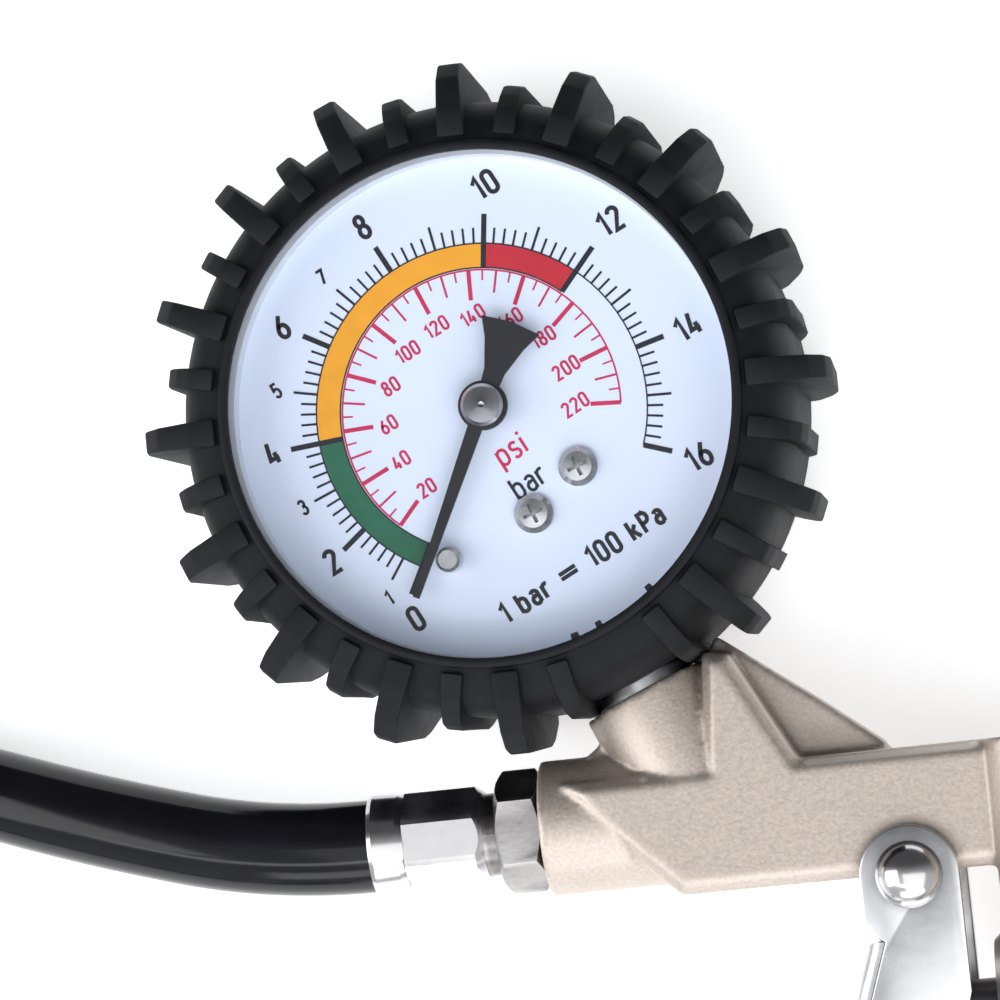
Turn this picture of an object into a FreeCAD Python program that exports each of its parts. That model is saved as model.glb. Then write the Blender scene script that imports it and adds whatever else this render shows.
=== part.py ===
import FreeCAD, Part
import math
import os

# Tyre inflator with gauge, lying on its side with the dial up, in millimetres.
# +X runs along the barrel from the hose outlet to the handle, +Y from the handle's foot to the
# gauge, and +Z is the dial's outward normal. Z = 0 is the surface that the tool lies on.
# Everything is drawn about the gauge's centre, then export() moves it to the part's origin.

V = FreeCAD.Vector
X, Y, Z = V(1, 0, 0), V(0, 1, 0), V(0, 0, 1)

# ---- driving dimensions: the tool as a whole ----
RIGHT = 79.3  # handle's outer face from the gauge's centre
FOOT = -165.3  # end of the air inlet from the gauge's centre
MID_Z = 14.0  # mid-plane of the casting, the gauge's stem and the hose outlet
LUG_R = 40.7  # tips of the tall tread lugs

# ---- gauge ----
CASE_R = 31.5
CASE_WALL = 1.2
CASE_BACK_Z = 2.2
CASE_TOP_Z = 29.6
LENS_Z = 30.2
LENS_TOP_Z = 32.0
LENS_OPENING_R = 29.5
BOOT_R = 36.2
BOOT_TOP_Z = 33.0
DIAL_Z = 26.4
DIAL_THICK = 0.5
DIAL_R = 29.9
LUGS = 16
SHORT_LUG_R = 37.9
STEM_ANGLE = -67.5  # direction of the gauge's stem in the dial's plane
STEM_R = 4.86  # G1/8
STEM_HOLE_R = 4.9
ZERO_ANGLE = -115.1  # where the pointer rests
STOP_ANGLE = -108.4
SECTOR_PIVOT = V(-17.6, 4.4, 0)
SECTOR_R = 15.75
PINION_R = 2.1
PINION_TEETH = 10
SECTOR_TEETH_ROUND = 80  # teeth that a full circle of the sector would have
SECTOR_TRAVEL = 33.0
BACK_PLATE_Z = 14.0
FRONT_PLATE_Z = 22.0
TEETH_DEEP = 0.45
TAIL_PIN_OUT = 5.4  # link's pin from the sector's arbor
TAIL_TURN = 8.0

# ---- gun casting ----
BARREL_Y = -49.6  # axis of the outlet boss
BOSS_R = 8.0
BARREL_X0 = 0.5
FLAT_HALF = 8.3  # half thickness of the flat-sided part
BARREL_TOP_Y = -44.3
BARREL_BOTTOM_Y = -58.9
HEAD_X0 = 53.3
NECK_R = 8.0
NECK_START = 37.4  # mouth of the neck, from the gauge's centre
PIVOT = V(43.2, -59.0, MID_Z)
LUG_BOSS_R = 5.2
HANDLE_X = 68.0  # axis of the air channel
CORE_FOOT_Y = -158.0

# ---- trigger and valve ----
TRIGGER_END_R = 5.8
TRIGGER_OUT = 9.9  # half width over the cheeks
TRIGGER_IN = 8.7
TRIGGER_WEB = 1.4
PIN_R = 2.5
VALVE_Y = -75.0
VALVE_STEM_R = 3.0
VALVE_TIP_X = 36.4
GLAND_R = 8.3
GLAND_FACE_X = 51.7
CHAMBER_R = 6.0

# ---- hose and fittings ----
HOSE_R = 5.55
HOSE_END_X = -20.3
TAIL_BORE_R = 2.0
TAIL_R = 3.0
FLOOR_AXIS_Z = 5.6  # hose axis when it lies on the surface
CHUCK_AXIS_Z = 8.0
BEND_SHARE = 0.45  # share of the shorter run that a bend's arc takes

HOSE_ROUTE = [
    V(HOSE_END_X, BARREL_Y, MID_Z),
    V(-36.5, BARREL_Y, MID_Z),
    V(-54.0, -45.0, 11.3),
    V(-76.0, -35.6, 7.0),
    V(-107.0, -27.5, FLOOR_AXIS_Z),
    V(-149.0, -28.5, FLOOR_AXIS_Z),
    V(-187.0, -48.0, FLOOR_AXIS_Z),
    V(-206.0, -87.0, FLOOR_AXIS_Z),
    V(-198.0, -129.0, FLOOR_AXIS_Z),
    V(-167.0, -157.0, 5.9),
    V(-128.0, -167.0, CHUCK_AXIS_Z),
    V(-93.0, -172.0, CHUCK_AXIS_Z),
]

ORIGIN = V((RIGHT - LUG_R) / 2, (FOOT + LUG_R) / 2, 0)


# ---- helpers ----
def export(name, shape):
    """Write one closed piece in the part's own frame."""
    placed = shape.copy()
    placed.translate(ORIGIN * -1)
    placed.exportStep("parts/" + name + ".step")


def polar(radius, degrees, z=0.0):
    return V(radius * math.cos(math.radians(degrees)), radius * math.sin(math.radians(degrees)), z)


def rod(base, direction, radius, length):
    return Part.makeCylinder(radius, length, base, direction)


def tube(base, direction, outer, inner, length):
    return rod(base, direction, outer, length).cut(rod(base, direction, inner, length))


def block(x0, x1, y0, y1, z0, z1):
    return Part.makeBox(x1 - x0, y1 - y0, z1 - z0, V(x0, y0, z0))


def prism(points, z0, z1):
    """A flat outline of (x, y) pairs, raised from z0 to z1."""
    corners = [V(x, y, z0) for x, y in points]
    wire = Part.makePolygon(corners + corners[:1])
    return Part.Face(wire).extrude(V(0, 0, z1 - z0))


def turned(profile, base=V(0, 0, 0), axis=Z, across=X):
    """Revolve a closed profile of (radius, height) pairs about an axis."""
    corners = [base + across * r + axis * h for r, h in profile]
    wire = Part.makePolygon(corners + corners[:1])
    return Part.Face(wire).revolve(base, axis, 360)


def hex_bar(base, direction, across_flats, length):
    """A hexagonal bar with two of its flats facing up and down."""
    radius = across_flats / math.sqrt(3)
    side = direction.cross(Z)
    corners = []
    for k in range(6):
        a = math.radians(60 * k)
        corners.append(base + side * (radius * math.cos(a)) + Z * (radius * math.sin(a)))
    wire = Part.makePolygon(corners + corners[:1])
    return Part.Face(wire).extrude(direction * length)


def rounded_bar(x0, x1, z0, z1, y0, y1, radius):
    """A bar along Y whose section is a rounded rectangle in X and Z."""
    bar = block(x0, x1, y0, y1, z0, z1)
    long_edges = [e for e in bar.Edges if abs(e.tangentAt(e.FirstParameter).y) > 0.9]
    return bar.makeFillet(radius, long_edges)


def union(shapes):
    first, *others = shapes
    return first.multiFuse(others).removeSplitter() if others else first


def on_stem(length, z):
    """A point on the gauge's stem line."""
    return polar(length, STEM_ANGLE, z)


STEM_AXIS = polar(1.0, STEM_ANGLE)


# ---- gauge ----
def lug_angles():
    """Every lug place, tall at even steps and short at odd ones; the one at the stem is missing."""
    for k in range(2 * LUGS):
        if k:
            yield STEM_ANGLE + k * 180.0 / LUGS, k % 2 == 0


def lug_bars(tall):
    """The straight bars, seen from above, that the lugs are cut from."""
    root, tip = (1.45, 0.95) if tall else (1.25, 0.85)
    bars = []
    for angle, is_tall in lug_angles():
        if is_tall == tall:
            bar = prism([(30.0, -root), (42.0, -tip), (42.0, tip), (30.0, root)], 0.0, BOOT_TOP_Z + 1)
            bar.rotate(V(0, 0, 0), Z, angle)
            bars.append(bar)
    return Part.makeCompound(bars)


def gauge_boot():
    base = turned([
        (0, 0), (33.6, 0), (35.4, 1.0), (BOOT_R, 4.0), (BOOT_R, 23.0), (35.6, 27.6), (34.4, 30.6),
        (33.2, 31.9), (31.0, 32.5), (30.6, BOOT_TOP_Z), (LENS_OPENING_R, BOOT_TOP_Z),
        (LENS_OPENING_R, LENS_TOP_Z), (CASE_R, LENS_TOP_Z), (CASE_R, CASE_BACK_Z), (0, CASE_BACK_Z),
    ])
    tall = turned([
        (33.0, 1.2), (37.4, 1.2), (38.8, 2.8), (LUG_R, 26.0), (40.2, 29.0), (38.3, 31.2), (34.5, 32.6),
        (31.2, BOOT_TOP_Z), (31.2, 32.2), (32.2, 32.0), (33.0, 29.5),
    ])
    short = turned([
        (33.0, 1.6), (36.2, 1.6), (37.0, 3.0), (SHORT_LUG_R, 26.0), (37.4, 29.0), (36.2, 30.6),
        (34.4, 32.0), (31.4, 32.9), (31.4, 32.2), (32.2, 32.0), (33.0, 29.5),
    ])
    lugs = tall.common(lug_bars(True)).Solids + short.common(lug_bars(False)).Solids
    boot = union([base] + lugs)
    return boot.cut(rod(on_stem(28.0, MID_Z), STEM_AXIS, 6.4, 16.0))


def gauge_case():
    cup = rod(V(0, 0, CASE_BACK_Z), Z, CASE_R, CASE_TOP_Z - CASE_BACK_Z)
    hollow = rod(V(0, 0, CASE_BACK_Z + CASE_WALL), Z, CASE_R - CASE_WALL, CASE_TOP_Z)
    stem_hole = rod(on_stem(27.0, MID_Z), STEM_AXIS, 5.6, 8.0)
    return cup.cut(hollow).cut(stem_hole)


def lens_gasket():
    return tube(V(0, 0, CASE_TOP_Z), Z, CASE_R - 0.1, 30.2, LENS_Z - CASE_TOP_Z)


def gauge_lens():
    return turned([
        (0, LENS_Z + 0.3), (29.2, LENS_Z + 0.3), (29.6, LENS_Z), (CASE_R - 0.1, LENS_Z),
        (CASE_R - 0.1, LENS_TOP_Z), (0, LENS_TOP_Z),
    ])


def dial_ring():
    """The light ring inside the case that holds the dial plate's edge down."""
    return tube(V(0, 0, DIAL_Z + DIAL_THICK), Z, CASE_R - CASE_WALL, 29.3, CASE_TOP_Z - DIAL_Z - DIAL_THICK)


SCREW_PLACES = [V(4.5, -13.1, 0), V(10.2, -8.2, 0)]


def dial_plate():
    plate = rod(V(0, 0, DIAL_Z), Z, DIAL_R, DIAL_THICK)
    plate = plate.cut(rod(V(0, 0, DIAL_Z - 1), Z, 1.6, 3))
    for place in SCREW_PLACES:
        plate = plate.cut(rod(place + Z * (DIAL_Z - 1), Z, 1.3, 3))
    stop = polar(18.4, STOP_ANGLE, DIAL_Z - 1)
    return plate.cut(rod(stop, Z, 0.8, 3))


def dial_screw(place):
    """A pan-head screw through the dial into the movement's front plate."""
    top = DIAL_Z + DIAL_THICK
    screw = turned([
        (0, FRONT_PLATE_Z), (1.25, FRONT_PLATE_Z), (1.25, top), (2.3, top), (2.3, top + 0.5),
        (1.7, top + 1.1), (0, top + 1.3),
    ])
    for turn in (20, 110):
        slot = block(-1.2, 1.2, -0.22, 0.22, top + 0.5, top + 2)
        slot.rotate(V(0, 0, 0), Z, turn)
        screw = screw.cut(slot)
    screw.translate(place)
    return screw


def zero_stop_pin():
    top = DIAL_Z + DIAL_THICK
    pin = turned([
        (0, DIAL_Z - 0.9), (0.75, DIAL_Z - 0.9), (0.75, top), (1.45, top), (1.45, top + 2.0),
        (1.1, top + 2.4), (0, top + 2.4),
    ])
    pin.translate(polar(18.4, STOP_ANGLE))
    return pin


def gauge_socket():
    """The brass block inside the case, with the threaded stem that carries the gauge."""
    half = 5.5
    inner = block(17.5, 27.5, -half, half, MID_Z - 6.0, MID_Z + 5.0)
    stem = rod(V(27.5, 0, MID_Z), X, STEM_R, NECK_START + 9.0 - 27.5)
    collar = rod(V(31.6, 0, MID_Z), X, 5.5, 4.4)
    socket = union([inner, stem, collar])
    socket = socket.cut(rod(V(20.5, 0, MID_Z), X, 1.2, 40))
    socket.rotate(V(0, 0, 0), Z, STEM_ANGLE)
    return socket


def bourdon_tube():
    """The flattened C-shaped tube, from the socket round to its free tip."""
    start = STEM_ANGLE + 22
    sweep = 262
    outer = Part.makeCylinder(25.4, 9.0, V(0, 0, 7.4), Z, sweep)
    inner = Part.makeCylinder(22.4, 9.0, V(0, 0, 7.4), Z, 360)
    ring = outer.cut(inner)
    ring.rotate(V(0, 0, 0), Z, start)
    foot = Part.makeCylinder(25.4, 9.0, V(0, 0, 7.4), Z, 24).cut(inner)
    foot.rotate(V(0, 0, 0), Z, STEM_ANGLE + 13.6)
    return union([ring, foot])


def movement_plate(z, thick, with_pillars):
    outline = [(4.0, -17.0), (14.5, -9.5), (9.0, 4.5), (1.0, 7.5), (-20.0, 8.5), (-21.5, 0.5), (-4.0, -5.5)]
    plate = prism(outline, z, z + thick)
    plate = plate.cut(rod(V(0, 0, z - 1), Z, 1.0, thick + 2))
    plate = plate.cut(rod(SECTOR_PIVOT + Z * (z - 1), Z, 0.75, thick + 2))
    for place in SCREW_PLACES:
        plate = plate.cut(rod(place + Z * (z - 1), Z, 1.25, thick + 2))
    if with_pillars:
        height = FRONT_PLATE_Z - z - thick
        pillars = [tube(place + Z * (z + thick), Z, 2.4, 1.25, height) for place in SCREW_PLACES]
        plate = union([plate] + pillars)
    return plate


def sector_gear():
    """The toothed sector on its own arbor, toothed where it faces the pinion."""
    z = 17.2
    toward = math.degrees(math.atan2(-SECTOR_PIVOT.y, -SECTOR_PIVOT.x))
    # the rest position is the scale's lower end, so the toothed arc reaches back by the whole travel
    past = 6.5
    spread = SECTOR_TRAVEL + 2 * past
    fan = Part.makeCylinder(SECTOR_R, 1.0, V(0, 0, z), Z, spread)
    hollow = Part.makeCylinder(SECTOR_R - 3.0, 1.0, V(0, 0, z), Z, 32)
    hollow = hollow.cut(rod(V(0, 0, z), Z, 5.0, 1.0))
    hollow.rotate(V(0, 0, 0), Z, 7)
    fan = fan.cut(hollow)
    notches = []
    pitch = 360.0 / SECTOR_TEETH_ROUND
    for k in range(int(spread / pitch)):
        notch = block(SECTOR_R - TEETH_DEEP, SECTOR_R + 1, -0.3, 0.3, z - 1, z + 2)
        notch.rotate(V(0, 0, 0), Z, (k + 0.6) * pitch)
        notches.append(notch)
    fan = fan.cut(Part.makeCompound(notches))
    fan.rotate(V(0, 0, 0), Z, toward - SECTOR_TRAVEL - past)
    tail = prism([(-0.9, -1.4), (-0.9, 1.4), (-6.2, 1.0), (-6.2, -1.0)], z, z + 1.0)
    tail = union([tail, rod(V(-TAIL_PIN_OUT, 0, z), Z, 0.35, 2.1)])
    tail.rotate(V(0, 0, 0), Z, toward + TAIL_TURN)
    arbor = rod(V(0, 0, BACK_PLATE_Z + 0.3), Z, 0.7, FRONT_PLATE_Z - BACK_PLATE_Z + 0.4)
    hub = rod(V(0, 0, z), Z, 1.8, 1.0)
    sector = union([fan, tail, hub, arbor])
    sector.translate(SECTOR_PIVOT)
    return sector


def tail_pin_place():
    toward = math.degrees(math.atan2(-SECTOR_PIVOT.y, -SECTOR_PIVOT.x))
    return SECTOR_PIVOT + polar(-TAIL_PIN_OUT, toward + TAIL_TURN)


def movement_link():
    """The short link from the sector's tail toward the tube's tip."""
    pin = tail_pin_place()
    bar = prism([(-0.9, -0.7), (6.6, -0.7), (6.6, 0.7), (-0.9, 0.7)], 18.35, 18.95)
    bar = bar.cut(rod(V(0, 0, 18), Z, 0.4, 2))
    bar.rotate(V(0, 0, 0), Z, 128)
    bar.translate(pin)
    return bar


def pinion_arbor():
    arbor = rod(V(0, 0, BACK_PLATE_Z + 0.3), Z, 0.6, DIAL_Z + 2.6 - BACK_PLATE_Z - 0.3)
    gear = rod(V(0, 0, 16.9), Z, PINION_R, 1.7)
    for k in range(PINION_TEETH):
        gap = block(PINION_R - TEETH_DEEP, PINION_R + 1, -0.3, 0.3, 16, 20)
        gap.rotate(V(0, 0, 0), Z, 360.0 / PINION_TEETH * k)
        gear = gear.cut(gap)
    return union([arbor, gear])


def hairspring():
    """The flat spiral on the arbor, drawn as rings of its own thickness joined by a spoke."""
    rings = [tube(V(0, 0, 19.0), Z, r + 0.12, r - 0.12, 0.5) for r in (1.2, 2.0, 2.8, 3.6)]
    spoke = block(0.62, 3.7, -0.12, 0.12, 19.0, 19.5)
    return union(rings + [spoke])


def pointer():
    """Tapered needle with a flared tail, at its zero."""
    z = DIAL_Z + 2.0
    outline = [(0, -0.95), (23.7, -0.4), (23.7, 0.4), (0, 0.95)]
    needle = prism(outline, z, z + 0.4)
    edge = [(0, 0.9), (-4.2, 1.25), (-7.6, 2.4), (-9.9, 3.6)]
    tail = prism([(x, -y) for x, y in edge] + [(-10.3, 0)] + edge[::-1], z, z + 0.4)
    disc = rod(V(0, 0, z - 0.3), Z, 2.9, 0.7)
    hand = union([needle, tail, disc]).cut(rod(V(0, 0, z - 1), Z, 0.6, 3))
    hand.rotate(V(0, 0, 0), Z, ZERO_ANGLE)
    return hand


def pointer_hub():
    z = DIAL_Z + 2.4
    return turned([
        (0, z + 0.3), (0.6, z + 0.3), (0.6, z), (2.5, z), (2.5, z + 0.7), (2.1, z + 1.1),
        (0.35, z + 1.25), (0, z + 1.1),
    ])


# ---- gun casting ----
def flat_side():
    """The flat-sided part: the barrel's right run and the web that rises to the gauge."""
    outline = [
        (3.4, -44.6), (6.4, -48.8), (11.9, -54.6), (16.5, BARREL_BOTTOM_Y), (HEAD_X0 + 1, BARREL_BOTTOM_Y),
        (HEAD_X0 + 1, BARREL_TOP_Y), (31.6, BARREL_TOP_Y), (24.6, -31.3), (21.6, -30.9), (20.5, -44.4),
    ]
    plate = prism(outline, MID_Z - FLAT_HALF, MID_Z + FLAT_HALF)
    rim = []
    for edge in plate.Edges:
        low, high = edge.BoundBox.ZMin, edge.BoundBox.ZMax
        if high - low < 0.1 and edge.BoundBox.XMin < HEAD_X0:
            rim.append(edge)
    return plate.makeChamfer(1.3, rim)


def rear_fin():
    outline = [(22.9, -29.0), (34.5, -37.7), (41.4, -43.2), (43.2, -46.5), (21.2, -46.5), (18.2, -36.0)]
    return prism(outline, MID_Z - 1.9, MID_Z + 1.9)


def front_fin():
    outline = [(6.7, -37.4), (8.0, -40.4), (5.5, -42.2), (4.7, -46.0), (16.0, -46.0), (14.5, -37.0)]
    return prism(outline, MID_Z - 2.2, MID_Z + 2.2)


def handle_core():
    head = rounded_bar(HEAD_X0, 78.9, MID_Z - 11.8, MID_Z + 11.8, -66.0, BARREL_TOP_Y, 4.5)
    upper = rounded_bar(55.0, 78.9, MID_Z - 11.8, MID_Z + 11.8, -92.0, -64.0, 4.5)
    core = rounded_bar(56.4, 77.4, MID_Z - 9.6, MID_Z + 9.6, CORE_FOOT_Y, -90.0, 4.5)
    return union([head, upper, core])


def gun_body():
    boss = rod(V(BARREL_X0, BARREL_Y, MID_Z), X, BOSS_R, 22.0)
    neck = rod(on_stem(NECK_START, MID_Z), STEM_AXIS, NECK_R, 15.0)
    lug = rod(V(PIVOT.x, PIVOT.y, MID_Z - FLAT_HALF), Z, LUG_BOSS_R, 2 * FLAT_HALF)
    body = union([flat_side(), rear_fin(), front_fin(), handle_core(), boss, neck, lug])
    bores = [
        rod(V(BARREL_X0, BARREL_Y, MID_Z), X, 4.3, 9.0),
        rod(V(BARREL_X0, BARREL_Y, MID_Z), X, 2.5, 64.0),
        rod(on_stem(NECK_START, MID_Z), STEM_AXIS, STEM_HOLE_R, 9.6),
        rod(on_stem(NECK_START, MID_Z), STEM_AXIS, 1.5, 16.0),
        rod(V(PIVOT.x, PIVOT.y, 0), Z, PIN_R, 30.0),
        rod(V(54.0, VALVE_Y, MID_Z), X, 6.6, 8.0),
        rod(V(60.0, VALVE_Y, MID_Z), X, 3.9, 8.0),
        rod(V(65.0, VALVE_Y, MID_Z), X, CHAMBER_R, 16.0),
        rod(V(63.5, VALVE_Y, MID_Z), Y, 1.4, BARREL_Y - VALVE_Y),
        rod(V(HANDLE_X, CORE_FOOT_Y - 1, MID_Z), Y, 3.5, VALVE_Y - CORE_FOOT_Y),
        rod(V(HANDLE_X, CORE_FOOT_Y, MID_Z), Y, 7.8, 13.0),
    ]
    for bore in bores:
        body = body.cut(bore)
    return body


def stem_washer():
    return tube(on_stem(36.1, MID_Z), STEM_AXIS, 6.3, STEM_HOLE_R, NECK_START - 36.1)


def handle_grip():
    grip = rounded_bar(HEAD_X0, RIGHT, 0.0, 2 * MID_Z, -157.0, -92.0, 7.5)
    grip = grip.cut(rounded_bar(56.4, 77.4, MID_Z - 9.6, MID_Z + 9.6, -170.0, -80.0, 4.5))
    for k in range(4):
        grip = grip.cut(rod(V(HEAD_X0 - 9.6, -101.5 - 15.2 * k, -1), Z, 11.0, 32))
    return grip


def inlet_bush():
    """The threaded air inlet: a hexagon under the handle, its shank in the casting."""
    shank = rod(V(HANDLE_X, CORE_FOOT_Y, MID_Z), Y, 7.8, 12.5)
    collar = hex_bar(V(HANDLE_X, FOOT, MID_Z), Y, 19.5, CORE_FOOT_Y - FOOT)
    cone = turned([(0, 0), (10.2, 0), (11.6, 1.4), (11.6, 10), (0, 10)], V(HANDLE_X, FOOT, MID_Z), Y, X)
    bush = union([shank, collar.common(cone)])
    bush = bush.cut(rod(V(HANDLE_X, FOOT, MID_Z), Y, 5.72, 13.0))
    return bush.cut(rod(V(HANDLE_X, FOOT, MID_Z), Y, 3.5, 30.0))


# ---- trigger and valve ----
def trigger():
    """A pressed steel channel: two cheeks over the barrel, and a web that the fingers pull."""
    r = TRIGGER_END_R
    front = [
        (PIVOT.x - r, -66.5), (33.5, -78.0), (27.2, -100.0), (23.0, -120.0), (21.4, -138.0), (19.4, -150.0),
    ]
    rear = [
        (24.8, -151.2), (28.6, -139.0), (31.6, -124.0), (36.6, -108.0), (44.2, -89.0), (PIVOT.x + r, -73.0),
    ]
    outline = [(PIVOT.x - r, PIVOT.y)] + front + rear + [(PIVOT.x + r, PIVOT.y)]
    low, high = MID_Z - TRIGGER_OUT, MID_Z + TRIGGER_OUT
    shell = union([prism(outline, low, high), rod(V(PIVOT.x, PIVOT.y, low), Z, r, high - low)])
    inside = [(x + TRIGGER_WEB, y) for x, y in front]
    inside[-1] = (20.6, -154.0)
    room = [(x + 8, y) for x, y in rear]
    room[0] = (30.0, -156.0)
    top = [(60.0, -50.0), (30.0, -50.0), (30.0, -66.5)]
    hollow = prism(inside + room + top, MID_Z - TRIGGER_IN, MID_Z + TRIGGER_IN)
    holes = rod(V(PIVOT.x, PIVOT.y, 0), Z, PIN_R + 0.05, 30)
    return shell.cut(hollow).cut(holes)


def trigger_pin():
    """The domed pivot pin, held fast in the casting."""
    under = MID_Z + TRIGGER_OUT + 0.1
    over = MID_Z - TRIGGER_OUT - 0.1
    shank = rod(V(PIVOT.x, PIVOT.y, over), Z, PIN_R, under - over)
    dome_r = 4.0
    ball_r = 4.2
    ball = Part.makeSphere(ball_r, V(PIVOT.x, PIVOT.y, under + 2.6 - ball_r))
    dome = ball.common(rod(V(PIVOT.x, PIVOT.y, under), Z, dome_r, 6))
    head = rod(V(PIVOT.x, PIVOT.y, over - 0.9), Z, 3.6, 0.9)
    return union([shank, dome, head])


def valve_gland():
    gland = turned([(0, 0), (7.4, 0), (GLAND_R, 0.9), (GLAND_R, 3.3), (6.6, 3.3), (6.6, 10.2), (0, 10.2)],
                   V(GLAND_FACE_X, VALVE_Y, MID_Z), X, Y)
    gland = gland.cut(rod(V(GLAND_FACE_X, VALVE_Y, MID_Z), X, VALVE_STEM_R + 0.05, 20))
    return gland.cut(rod(V(59.0, VALVE_Y, MID_Z), X, 4.4, 4))


def stem_seal():
    return tube(V(59.0, VALVE_Y, MID_Z), X, 4.4, VALVE_STEM_R + 0.05, 1.6)


def valve_stem():
    """Stem and poppet in one: the poppet closes the seat from the chamber's side."""
    stem = rod(V(VALVE_TIP_X + 1.6, VALVE_Y, MID_Z), X, VALVE_STEM_R, 22.8)
    dome = [(0, 0), (1.6, 0.1), (2.5, 0.6), (VALVE_STEM_R, 1.6), (0, 1.6)]
    tip = turned(dome, V(VALVE_TIP_X, VALVE_Y, MID_Z), X, Y)
    neck = rod(V(60.8, VALVE_Y, MID_Z), X, 1.8, 5.4)
    head = rod(V(66.2, VALVE_Y, MID_Z), X, 5.0, 1.6)
    nose = rod(V(67.8, VALVE_Y, MID_Z), X, 1.6, 2.2)
    return union([stem, tip, neck, head, nose])


def poppet_seal():
    return tube(V(65.1, VALVE_Y, MID_Z), X, 5.0, 1.8, 1.1)


def valve_spring():
    rings = [Part.makeTorus(3.4, 0.4, V(68.5 + 1.5 * k, VALVE_Y, MID_Z), X) for k in range(4)]
    rail = rod(V(68.5, VALVE_Y + 3.4, MID_Z), X, 0.35, 4.5)
    return union(rings + [rail])


def valve_plug():
    plug = union([
        rod(V(74.0, VALVE_Y, MID_Z), X, CHAMBER_R, 4.9),
        hex_bar(V(78.9, VALVE_Y, MID_Z), X, 11.0, 0.4),
    ])
    return plug.cut(rod(V(73.5, VALVE_Y, MID_Z), X, 2.2, 2.4))


# ---- hose and its fittings ----
def outlet_nipple():
    """Hexagon and thread of the outlet fitting, with the tail that the hose is crimped on."""
    start = V(HOSE_END_X, BARREL_Y, MID_Z)
    tail = rod(start + X * 0.5, X, TAIL_R, 13.2)
    collar = rod(start + X * 13.7, X, 4.9, 1.8)
    nut_x = HOSE_END_X + 15.4
    nut = hex_bar(V(nut_x, BARREL_Y, MID_Z), X, 12.7, BARREL_X0 - nut_x)
    wide = BARREL_X0 - nut_x
    round_off = [(0, 0), (6.2, 0), (7.4, 0.8), (7.4, wide - 0.8), (6.2, wide), (0, wide)]
    cone = turned(round_off, V(nut_x, BARREL_Y, MID_Z), X, Y)
    thread = rod(V(BARREL_X0, BARREL_Y, MID_Z), X, 4.28, 8.0)
    fitting = union([tail, collar, nut.common(cone), thread])
    return fitting.cut(rod(start, X, TAIL_BORE_R, 40))


def crimp_ferrule(base, direction, length):
    """A flared round collar, then a sleeve crimped to six flats; the hose's tail is inside."""
    side = direction.cross(Z)
    flare = [(0, 0), (5.95, 0), (6.1, 0.5), (5.9, 3.4), (5.6, 4.2), (0, 4.2)]
    collar = turned(flare, base, direction, side)
    barrel = hex_bar(base + direction * 4.2, direction, 11.0, length - 4.2)
    round_off = [(0, 4.2), (5.9, 4.2), (5.9, length - 1.0), (5.2, length), (0, length)]
    cone = turned(round_off, base, direction, side)
    sleeve = union([collar, barrel.common(cone)])
    return sleeve.cut(rod(base, direction, 4.6, length))


def hose_tail(base, direction, length):
    return tube(base, direction, 4.6, TAIL_R, length)


def hose_path(points):
    """Straight runs joined by tangent arcs, each as large as its two runs allow."""
    edges = []
    radii = []
    here = points[0]
    for before, corner, after in zip(points, points[1:], points[2:]):
        back = (before - corner).normalize()
        ahead = (after - corner).normalize()
        turn = math.pi - back.getAngle(ahead)
        cut = BEND_SHARE * min(before.distanceToPoint(corner), after.distanceToPoint(corner))
        radius = cut / math.tan(turn / 2)
        radii.append(radius)
        inward = (back + ahead).normalize()
        middle = corner + inward * (radius / math.cos(turn / 2) - radius)
        start = corner + back * cut
        end = corner + ahead * cut
        edges.append(Part.LineSegment(here, start).toShape())
        edges.append(Part.Arc(start, middle, end).toShape())
        here = end
    edges.append(Part.LineSegment(here, points[-1]).toShape())
    return Part.Wire(edges), radii


def hose():
    path, radii = hose_path(HOSE_ROUTE)
    direction = (HOSE_ROUTE[1] - HOSE_ROUTE[0]).normalize()
    ring = Part.Wire(Part.makeCircle(HOSE_R, HOSE_ROUTE[0], direction))
    body = path.makePipeShell([ring], True, False)
    section = math.pi * HOSE_R ** 2
    print("hose length", round(path.Length, 2), "volume over section x length",
          round(body.Volume / (section * path.Length), 4))
    print("hose bend radii", [round(r, 1) for r in radii], "diameter", 2 * HOSE_R)
    return body


# ---- clip-on chuck, drawn along +X from the hose's end, then laid at the end of the route ----
CHUCK_LEVER_PIVOT = V(31.0, 0, 10.4)
CHUCK_BORE_R = 4.05
CHUCK_LENGTH = 46.0


def at_hose_end(shape):
    last, before = HOSE_ROUTE[-1], HOSE_ROUTE[-2]
    heading = math.degrees(math.atan2(last.y - before.y, last.x - before.x))
    shape.rotate(V(0, 0, 0), Z, heading)
    shape.translate(last)
    return shape


def chuck_body():
    tail = rod(V(0.5, 0, 0), X, TAIL_R, 12.5)
    flats = hex_bar(V(13.0, 0, 0), X, 14.0, 6.0)
    barrel = turned([
        (0, 19.0), (6.4, 19.0), (7.6, 20.2), (7.6, 42.5), (6.9, 43.6), (6.9, CHUCK_LENGTH), (0, CHUCK_LENGTH),
    ], V(0, 0, 0), X, Y)
    ears = [block(27.0, 35.0, y, y + 2.2, 3.0, 13.0) for y in (-5.4, 3.2)]
    body = union([tail, flats, barrel] + ears)
    body = body.cut(rod(V(0, 0, 0), X, TAIL_BORE_R, 40))
    body = body.cut(rod(V(CHUCK_LENGTH - 8.0, 0, 0), X, CHUCK_BORE_R, 9))
    body = body.cut(rod(V(34.0, 0, 0), X, 4.8, 4.0))
    body = body.cut(rod(CHUCK_LEVER_PIVOT - Y * 8, Y, 1.25, 16))
    return body.cut(block(38.6, 43.8, -2.1, 2.1, 3.0, 9.0))


def chuck_gasket():
    return tube(V(34.2, 0, 0), X, 4.75, 2.3, 3.6)


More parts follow.
